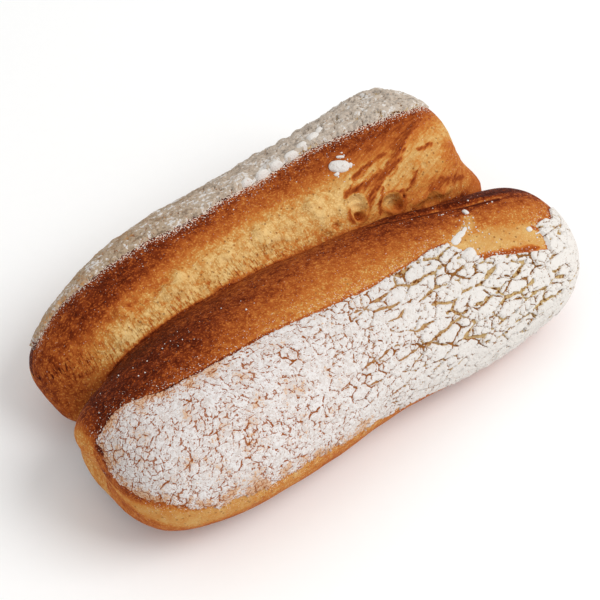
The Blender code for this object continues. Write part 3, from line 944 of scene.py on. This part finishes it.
def crack_flour(flour, t, degrees, points, thick):
    """The cracked plates' height from 0 to 1, each plate's own lift, and the gaps to each net's cracks."""
    draw = np.random.default_rng(flour.seed)
    ragged = warped(warped(points, THIN_BENDS[0], 41), THIN_BENDS[1], 44)
    bent = warped(warped(points, THICK_BENDS[0], 47), THICK_BENDS[1], 57)
    ragged = between(ragged, bent, 0.9 * thick[:, None])
    share = flour.cracking * (1 - 0.7 * ease(0.93, 0.97, t))
    share *= 1 - 0.7 * thick * ease(78, 98, degrees)
    plate = np.ones(len(points))
    lift = np.zeros(len(points))
    gaps = {}
    for i, (name, cracks) in enumerate(zip(GAP_NAMES, NETS)):
        gap, level = crack_gaps(cracks, share, points, ragged, thick, draw, 50 + 2 * i)
        gaps[name] = np.clip(gap, -GAP_LIMIT, GAP_LIMIT) / GAP_LIMIT
        plate *= between(1 - cracks.depth, 1, ease(-CRACK_WALL / 2, CRACK_WALL / 2, gap))
        lift += cracks.depth * level
    return plate, lift, gaps


def flour_relief(flour, t, degrees, points):
    """The flour's height over the crust, and what its material needs to know of each point."""
    thick = ease(THICKENS_FROM_T, THICKENS_TO_T, t)
    plate, lift, facts = crack_flour(flour, t, degrees, points, thick)
    uneven = flour.lumpiness * waves_at(points, LUMPS, 63)
    body = between(*flour.thickness, thick) * (1 + between(*PLATE_LIFT, thick) * lift + uneven)
    body *= 1 - TIP_THINNING * ease(0.93, 0.99, t)
    edge = ragged_edge(flour, t, degrees, points)
    height = between(-FLOUR_DIP, CRACK_FLOOR + body * plate, ease(-EDGE_WALL, EDGE_WALL, edge))
    stained_to = STAIN.height * noise_at(points, STAIN.length, 67)
    near_edge = ease(STAIN_REACH, 0.0, edge - stained_to) * (1 - thick)
    facts["thick"] = thick
    facts["cloud"] = waves_at(points, CLOUDS, 65)
    # Share of the far side's grey, which is partly painted shade
    facts["grey"] = between(*flour.greyness, thick)
    facts["faint"] = near_edge * (flour.cracking - ease(0.12, 0.3, t) * (degrees < 60))
    return height, facts


def close_underneath(mesh, middle):
    """Close the sheet by a cone from its border to a point inside the lobe."""
    with edited(mesh) as shape:
        tip = shape.verts.new(middle)
        for edge in [edge for edge in shape.edges if edge.is_boundary]:
            shape.faces.new((*edge.verts, tip))
        face_outward(shape)


def build_flour(name, flour):
    """A sheet that follows the crust, stands over it as plates and dips under it round the patch."""
    lobe = flour.lobe
    turns = np.radians(np.linspace(*FLOUR_DEGREES, flour.ring_points))
    t, turn = np.meshgrid(ring_places(lobe, flour.rings), turns, indexing="ij")
    t, turn = t.ravel(), turn.ravel()
    degrees = np.degrees(turn)
    covered = flour_edge(flour, t, degrees) > -FLOUR_MARGIN
    quads = ring_quads(flour.rings, flour.ring_points, closed=False)
    quads = quads[covered[quads].all(axis=1)]
    kept, corners = np.unique(quads, return_inverse=True)
    t, turn, degrees = t[kept], turn[kept], degrees[kept]
    height, facts = flour_relief(flour, t, degrees, smooth_skin(lobe, t, turn))
    points = crust_points(lobe, t, turn, height)
    made = mesh_object(name, points, corners.reshape(-1, 4).tolist())
    half_height = HEIGHT_TO_WIDTH * float(np.mean(lobe.half_widths))
    close_underneath(made.data, (0, float(np.mean(lobe.middle_line)), SUNK * half_height))
    set_attributes(made.data, {fact: np.append(values, 0) for fact, values in facts.items()})
    made.data.shade_smooth()
    made.data.materials.append(flour_material())
    return made


def crust_frame(lobe, place):
    """A point on the crust at a place, with directions along the lobe, round it and outward."""
    t, turn = np.array([place[0]]), np.radians([place[1]])
    point = crust_points(lobe, t, turn)[0]
    normal = outward_normals(lobe, t, turn)[0]
    across = np.cross(normal, (1, 0, 0))
    across /= np.linalg.norm(across)
    return point, np.cross(across, normal), across, normal


def add_bit(shape, lobe, place, size, turned, fineness, draw):
    """Add one crumb or chip of flour: a lumpy ball, flattened against the crust."""
    point, along, across, normal = crust_frame(lobe, place)
    ball = bmesh.ops.create_icosphere(shape, subdivisions=fineness, radius=1)["verts"]
    shift = Vector(draw.uniform(-9, 9, 3).tolist())
    for vertex in ball:
        swell = 0.15 * noise.noise(vertex.co * 0.9 + shift) + 0.06 * noise.noise(vertex.co * 2.8 + shift)
        corner = vertex.co.normalized() * (1 + swell)
        flat = [math.copysign(abs(part) ** BIT_SQUARENESS, part) for part in corner]
        x = flat[0] * math.cos(turned) - flat[1] * math.sin(turned) * size[1] / size[0]
        y = flat[0] * math.sin(turned) * size[0] / size[1] + flat[1] * math.cos(turned)
        vertex.co = point + along * x * size[0] + across * y * size[1] + normal * (corner.z * size[2])


def add_trail(shape, trail, draw):
    """Add crumbs that stray from a path."""
    for _ in range(trail.count):
        share = draw.uniform(0, len(trail.path) - 1)
        first = min(int(share), len(trail.path) - 2)
        start, end = np.array(trail.path[first]), np.array(trail.path[first + 1])
        stray = draw.normal(0, trail.spread, 2) * (1 / LOBE_LENGTH, math.degrees(1 / GIRTH_RADIUS))
        size = draw.uniform(*CRUMB_SIZE) * draw.uniform(0.7, 1.3, 3)
        at = between(start, end, share - first) + stray
        add_bit(shape, trail.lobe, at, size, draw.uniform(0, math.pi), 2, draw)


def build_bits():
    """Single chips and crumbs of flour, baked onto the crust."""
    draw = np.random.default_rng(11)
    made = mesh_object("flour_bits", np.empty((0, 3)), [])
    with edited(made.data) as shape:
        for chip in CHIPS:
            add_bit(shape, chip.lobe, chip.place, chip.size, math.radians(chip.turned), 4, draw)
        for trail in TRAILS:
            add_trail(shape, trail, draw)
    count = len(made.data.vertices)
    set_attributes(made.data, {name: np.full(count, 1) for name in (*GAP_NAMES, "thick")})
    set_attributes(made.data, {"cloud": np.full(count, -1)})
    made.data.shade_smooth()
    made.data.materials.append(flour_material())
    return made


class Value:
    """A number or a colour that varies over a material: an output of one of its nodes."""

    def __init__(self, socket):
        self.socket = socket
        self.tree = socket.id_data

    def __add__(self, other):
        return self.maths("ADD", other)

    def __sub__(self, other):
        return self.maths("SUBTRACT", other)

    def __mul__(self, other):
        return self.maths("MULTIPLY", other)

    def maths(self, operation, other):
        return add_node(self.tree, "Math", 0, {"operation": operation}, i0=self, i1=other)

    def centred(self, amount):
        """Noise of 0 to 1 turned into a swing about nothing."""
        return (self - 0.5) * amount

    def step(self, low, high, out_low=0.0, out_high=1.0):
        """Its smooth step from low to high."""
        settings = {"interpolation_type": "SMOOTHSTEP"}
        ends = {"i1": low, "i2": high, "i3": out_low, "i4": out_high}
        return add_node(self.tree, "MapRange", "Result", settings, Value=self, **ends)

    def blend(self, first, second):
        """A colour between two colours, by this share."""
        return add_node(self.tree, "Mix", 2, {"data_type": "RGBA"}, i0=self, i6=first, i7=second)

    def ramp(self, stops):
        """The colour at this value, from (value, colour) stops."""
        made = add_node(self.tree, "ValToRGB", "Color", {}, Fac=self)
        elements = made.socket.node.color_ramp.elements
        while len(elements) < len(stops):
            elements.new(0.5)
        for element, (position, colour) in zip(elements, stops):
            element.position = position
            element.color = colour
        return made

    def noise(self, size, detail):
        """Noise from 0 to 1 over this place, in blobs of about the size given."""
        blobs = {"Scale": 1 / size, "Detail": detail}
        return add_node(self.tree, "TexNoise", "Fac", {}, Vector=self, **blobs)

    def feed(self, socket):
        self.tree.links.new(self.socket, socket)

    def bump(self, shader, distance, strength):
        """Roughen a shader by this height."""
        sizes = {"Distance": distance, "Strength": strength}
        bump = add_node(self.tree, "Bump", "Normal", {}, Height=self, **sizes)
        bump.feed(shader.inputs["Normal"])


def add_node(tree, kind, output, settings, **inputs):
    """One output of a new node; an input is a number, a colour or another node's output."""
    node = tree.nodes.new("ShaderNode" + kind)
    for name, setting in settings.items():
        setattr(node, name, setting)
    for name, value in inputs.items():
        socket = node.inputs[int(name[1:]) if name[1:].isdigit() else name]
        if isinstance(value, Value):
            value.feed(socket)
        else:
            socket.default_value = value
    return Value(node.outputs[output])


def attribute(tree, name):
    return add_node(tree, "Attribute", "Fac", {"attribute_name": name})


def place(tree, scale=(1, 1, 1), turned=(0, 0, 0)):
    """The place on the object, turned and then stretched by a scale."""
    coordinates = add_node(tree, "TexCoord", "Object", {})
    rotation = [math.radians(angle) for angle in turned]
    straight = add_node(tree, "Mapping", "Vector", {}, Vector=coordinates, Rotation=rotation)
    return add_node(tree, "Mapping", "Vector", {}, Vector=straight, Scale=scale)


def new_material(name):
    """A material, its node tree and its shader."""
    made = bpy.data.materials.new(name)
    made.use_nodes = True
    return made, made.node_tree, made.node_tree.nodes["Principled BSDF"]


def crust_tone(tree, grain, mottle, stroke):
    """How brown the crust is, with its grain, its blotches, the streaks of its torn end, and a dark line by
    the flour's upper edge that is partly painted shadow.
    """
    # Darker from just above the flour's upper edge onwards, which shows as a thin dark line along it: partly
    # darker crust, partly painted shadow of the flour's edge
    edge_line_and_shadow = attribute(tree, "edge").step(-0.55, -0.15) * 0.22
    pulls = place(tree, (0.22, 1, 1), PULLED).noise(CRUST_PULL, 4)
    pull = pulls.centred(0.60) * attribute(tree, "torn")
    ragged_streak = attribute(tree, "streak") + mottle.centred(1.1) + pull * 3.0 + grain.centred(1.0)
    streak = ragged_streak.step(-1.0, 1.0, 0.0, STREAK_BROWNING)
    bright_grain = grain.step(0.53, 0.64, 0.0, -0.34)
    dark_grain = grain.step(0.47, 0.36, 0.0, 0.16)
    patchy = mottle.centred(0.50) * (attribute(tree, "blistered") * 0.9 + 1.0)
    unevenness = grain.centred(0.8) + dark_grain + bright_grain + patchy
    liveliness = attribute(tree, "calm").step(0, 1, 1.0, 0.4)
    tone = attribute(tree, "browning") + unevenness * liveliness + stroke * 0.32 + edge_line_and_shadow + pull
    return tone.maths("MAXIMUM", streak + pull * 0.9)


def crust_material():
    """Baked crust: browned unevenly, grained, specked with flour and pricked with pores whose dark floors
    are partly painted shade.
    """
    made, tree, shader = new_material("crust_baked")
    spot = place(tree)
    grain = spot.noise(CRUST_GRAIN, 2)
    mottle = spot.noise(CRUST_MOTTLE, 3)
    stretch = attribute(tree, "stretch")
    strokes = place(tree, (2.4, 0.45, 0.45)).noise(CRUST_STROKE, 2)
    stroke = strokes.step(0.52, 0.66) * stretch
    tone = crust_tone(tree, grain, mottle, stroke)
    dusty = spot.noise(CRUST_DUST, 1) + attribute(tree, "dust") * 0.10
    colour = dusty.step(0.73, 0.80).blend(tone.ramp(CRUST_STOPS), FLOUR_DUST)
    # Pinhole pores, darker where the crust is pale: partly darker crust, partly painted shade inside them
    pores = add_node(tree, "TexVoronoi", "Distance", {}, Vector=spot, Scale=1 / CRUST_PORE)
    pore = pores.step(0.22, 0.12) * tone.step(0.62, 0.34, 0.0, 0.65)
    pore.blend(colour, PORE_FLOOR_AND_SHADE).feed(shader.inputs["Base Color"])
    mottle.step(0.2, 0.8, 0.50, 0.70).feed(shader.inputs["Roughness"])
    shader.inputs["Specular IOR Level"].default_value = 0.03
    pebbles = pores * (stretch * 1.5 + 0.3)
    height = grain + mottle - stroke * 0.6 - pebbles
    height.bump(shader, CRUST_BUMP, 1.0)
    return made


def flour_body(tree, grain, flecks, thick):
    """The flour's colour between its cracks: white, darker between its lumps and greyer on the far side,
    both partly painted shade, and stained where it is thin.
    """
    cloud = attribute(tree, "cloud")
    faint = attribute(tree, "faint")
    patchy = flecks + cloud * 0.22
    # The far flour's grey, with darker specks and lighter spots: partly toasted flour, partly painted shade
    grey = patchy.step(0.52, 0.74).blend(FLOUR_GREY_AND_SHADE, GREY_SPECK)
    grey = patchy.step(0.44, 0.33).blend(grey, FLOUR_THICK)
    # Thin flour is whiter where the bump stands high and darker where it is low: partly the thin flour's
    # colour, partly painted highlight and shade on its lumps
    lumps = flecks + grain.centred(0.5)
    white = lumps.step(0.40, 0.56).blend(FLOUR_THIN_AND_SHADE, FLOUR_WHITE)
    body = attribute(tree, "grey").blend(thick.blend(white, FLOUR_THICK), grey)
    cloudy = cloud + flecks.centred(3.2) - thick * 1.3 + faint + grain.centred(2.0)
    body = cloudy.step(0.30, 1.0, 0.0, 0.70).blend(body, SHOWING_THROUGH)
    thin = thick * -1.0 + 1.0
    specks = grain + thin * 0.03 + faint * 0.14
    return specks.step(0.66, 0.74, 0.0, 0.8).blend(body, SPECK)


def flour_material():
    """Dry baked flour: matt, finely speckled, and brown in its cracks."""
    if "flour_baked" in bpy.data.materials:
        return bpy.data.materials["flour_baked"]
    made, tree, shader = new_material("flour_baked")
    spot = place(tree)
    grain = spot.noise(FLOUR_GRAIN, 2)
    flecks = spot.noise(FLOUR_FLECK, 3)
    thick = attribute(tree, "thick")
    brown = flecks.step(0.54, 0.68).blend(CRACK_BROWN, CRACK_DARK)
    tan = flecks.step(0.44, 0.62).blend(CRACK_TAN, brown)
    colour = flour_body(tree, grain, flecks, thick)
    nets = (("fine_gap", FINE_THICK_CRACK, 0.9), ("cross_gap", brown, 1), ("long_gap", tan, 1))
    for gap, thick_crack, share in nets:
        ragged = attribute(tree, gap) + grain.centred(0.35)
        crack = thick.blend(THIN_CRACK, thick_crack)
        colour = ragged.step(0.065, -0.03, 0.0, share).blend(colour, crack)
    colour.feed(shader.inputs["Base Color"])
    shader.inputs["Roughness"].default_value = 0.95
    shader.inputs["Specular IOR Level"].default_value = 0.05
    (grain + flecks).bump(shader, FLOUR_BUMP, 0.9)
    return made


def stage_material():
    made, tree, shader = new_material("paper")
    place(tree).noise(PAPER_FIBRE, 4).blend(*PAPER).feed(shader.inputs["Base Color"])
    shader.inputs["Roughness"].default_value = 0.9
    return made


def build_stage():
    bpy.ops.mesh.primitive_plane_add(size=FLOOR_SIZE)
    floor = bpy.context.object
    floor.name = "floor"
    floor.data.materials.append(stage_material())


def place_in_view(item, target, azimuth, elevation, distance):
    """Add a light or camera to the scene, standing off a target and turned to look at it."""
    level = math.cos(elevation)
    back = Vector((math.sin(azimuth) * level, -math.cos(azimuth) * level, math.sin(elevation)))
    item.location = target + back * distance
    item.rotation_euler = back.to_track_quat("Z", "Y").to_euler()
    bpy.context.scene.collection.objects.link(item)


def build_light():
    data = bpy.data.lights.new("key", "AREA")
    data.energy = KEY_WATTS
    data.size = KEY_SIZE
    light = bpy.data.objects.new("key", data)
    place_in_view(light, Vector(), KEY_AZIMUTH, KEY_ELEVATION, KEY_DISTANCE)


def build_camera():
    data = bpy.data.cameras.new("camera")
    data.lens = CAMERA_LENS_MM
    data.shift_x, data.shift_y = CAMERA_SHIFT
    camera = bpy.data.objects.new("camera", data)
    place_in_view(camera, CAMERA_TARGET, CAMERA_AZIMUTH, CAMERA_ELEVATION, CAMERA_DISTANCE)
    bpy.context.scene.camera = camera


def build_world():
    world = bpy.data.worlds.new("studio")
    world.use_nodes = True
    background = world.node_tree.nodes["Background"]
    background.inputs["Color"].default_value = (1, 1, 1, 1)
    background.inputs["Strength"].default_value = WORLD_STRENGTH
    bpy.context.scene.world = world
    bpy.context.scene.view_settings.view_transform = "Standard"


crust = build_crust()
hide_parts("roll")
flour_near = build_flour("flour_near", NEAR_FLOUR)
flour_far = build_flour("flour_far", FAR_FLOUR)
flour_bits = build_bits()
for piece in (crust, flour_near, flour_far, flour_bits):
    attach(piece, "root")
build_stage()
build_world()
build_light()
build_camera()
